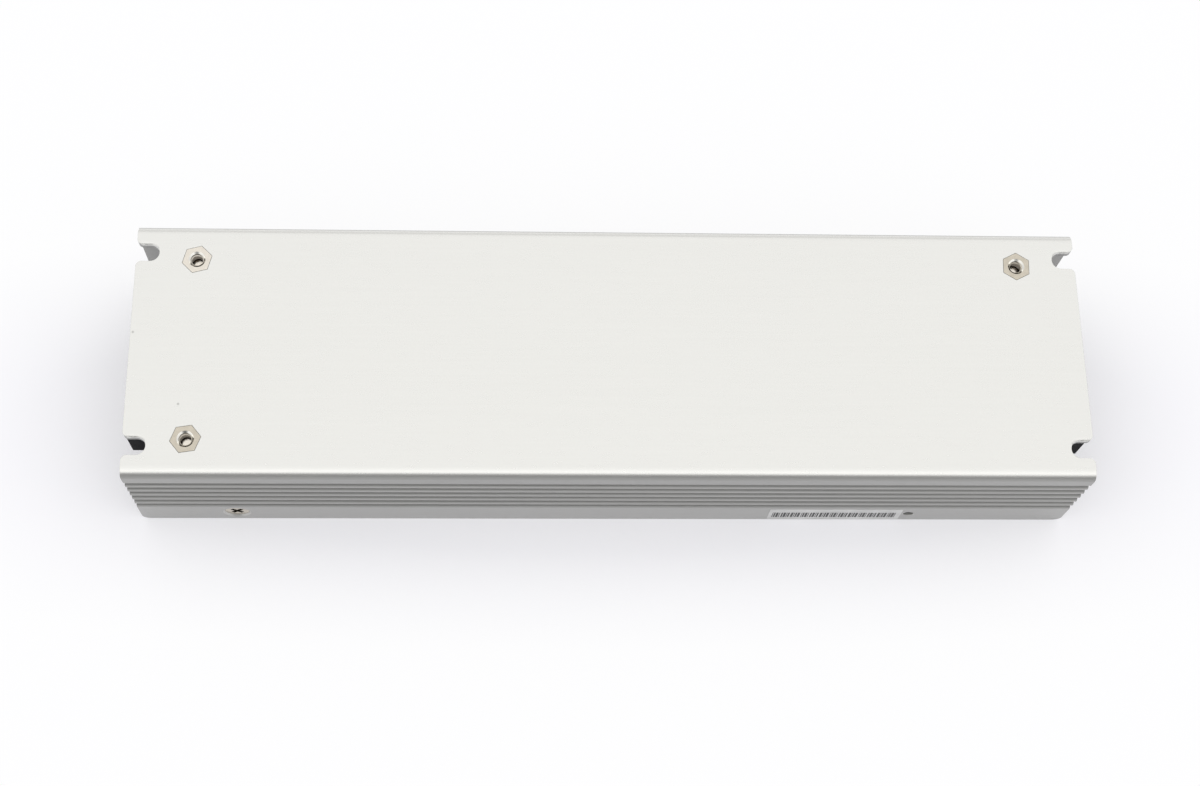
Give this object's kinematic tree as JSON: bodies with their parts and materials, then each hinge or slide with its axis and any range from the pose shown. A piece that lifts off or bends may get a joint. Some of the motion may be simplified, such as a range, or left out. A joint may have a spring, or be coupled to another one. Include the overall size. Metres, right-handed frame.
{
  "type": "led power supply",
  "caption": "Slim switching power supply in a ribbed aluminium channel with end notches, clinched standoffs, a vented cover and screw terminals at both ends.",
  "frame": {"origin": "middle of the part on the plane of the wall edges that it rests on", "axes": "+X along the length from the mains end to the output end, +Y from the front wall to the rear wall, +Z towards the outer face of the base plate"},
  "size_m": [0.2208, 0.0616, 0.032],
  "materials": {
    "bare_aluminium": "mill-finish extrusion with a fine lengthwise grain",
    "cover_aluminium": "mill-finish sheet",
    "nickel": "nickel-plated steel",
    "film": "translucent polyester film",
    "board": "green solder mask",
    "black_plastic": "black moulded plastic",
    "brass": "tinned brass",
    "glass": "clear glass tube",
    "olive_epoxy": "dipped epoxy coating",
    "yellow_box": "moulded plastic case",
    "ferrite": "sintered ferrite",
    "copper": "enamelled copper wire",
    "blue_epoxy": "dipped epoxy coating",
    "can_sleeve": "shrink sleeve over an aluminium can",
    "tape": "polyester tape over the windings",
    "pad": "soft silicone thermal pad",
    "powder_core": "coated iron powder",
    "white_plastic": "white moulded plastic",
    "lamp": "tinted epoxy lens",
    "blue_plastic": "blue moulded plastic"
  },
  "bodies": {
    "housing": {"base_channel": "bare_aluminium", "top_cover": "cover_aluminium", "cover_screws": "nickel", "board_standoffs": "nickel", "board_screws": "nickel", "insulation_sheet": "film", "circuit_board": "board", "input_terminal_block": "black_plastic", "input_terminal_plates": "brass", "input_terminal_screws": "nickel", "output_terminal_block": "black_plastic", "output_terminal_plates": "brass", "output_terminal_screws": "nickel", "fuse_tube": "glass", "fuse_caps": "nickel", "fuse_clips": "brass", "inrush_thermistor": "olive_epoxy", "film_capacitor": "yellow_box", "filter_choke_core": "ferrite", "filter_choke_windings": "copper", "safety_capacitors": "blue_epoxy", "bridge_rectifier": "black_plastic", "rectifier_heatsink": "cover_aluminium", "rectifier_screw": "nickel", "bulk_capacitors": "can_sleeve", "transformer_core": "ferrite", "transformer_bobbin": "black_plastic", "transformer_winding": "tape", "switching_transistors": "black_plastic", "output_rectifiers": "black_plastic", "thermal_pads": "pad", "output_choke_core": "powder_core", "output_choke_winding": "copper", "output_capacitors": "can_sleeve", "controller_chip": "black_plastic", "optocoupler": "white_plastic", "indicator_lamp": "lamp", "trimmer_body": "blue_plastic"},
    "trimmer": {"trimmer_rotor": "white_plastic"}
  },
  "joints": [
    {"name": "voltage_trim", "type": "hinge", "parent": "housing", "child": "trimmer", "pos_m": [0.096, -0.022, 0.0198], "axis": [0, 0, -1], "range_deg": [-130, 130]}
  ]
}
